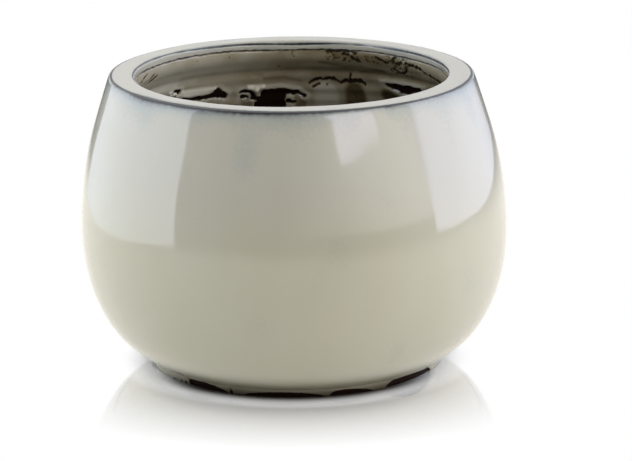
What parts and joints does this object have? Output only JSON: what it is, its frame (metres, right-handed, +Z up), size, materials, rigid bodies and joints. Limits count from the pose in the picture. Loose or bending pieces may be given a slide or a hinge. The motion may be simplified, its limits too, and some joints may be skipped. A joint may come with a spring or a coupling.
{
  "type": "round glazed planter pot",
  "caption": "Deep round stoneware pot for a bonsai or other plant, with a flat rim, a low foot, a drain hole and a pale glossy glaze that runs.",
  "frame": {"origin": "centre of the foot's resting face, on the pot's axis, at the height of the table", "axes": "+Z up along the pot's axis; -Y is the front, the side that the glaze's low points are numbered from"},
  "size_m": [0.3, 0.3, 0.207],
  "materials": {
    "bare_clay": "matt, dark red-brown, fired bare",
    "pale_glaze": "glossy off-white with a grey-green cast, dark where it breaks over an arris",
    "thin_glaze": "glossy, thin and grey-brown, with thick pale runs"
  },
  "bodies": {
    "root": {"foot_ring": "bare_clay", "floor_slab": "bare_clay", "wall": "bare_clay", "rim_ring": "bare_clay", "outer_glaze": "pale_glaze", "rim_glaze": "pale_glaze", "inner_glaze": "thin_glaze"}
  },
  "joints": []
}
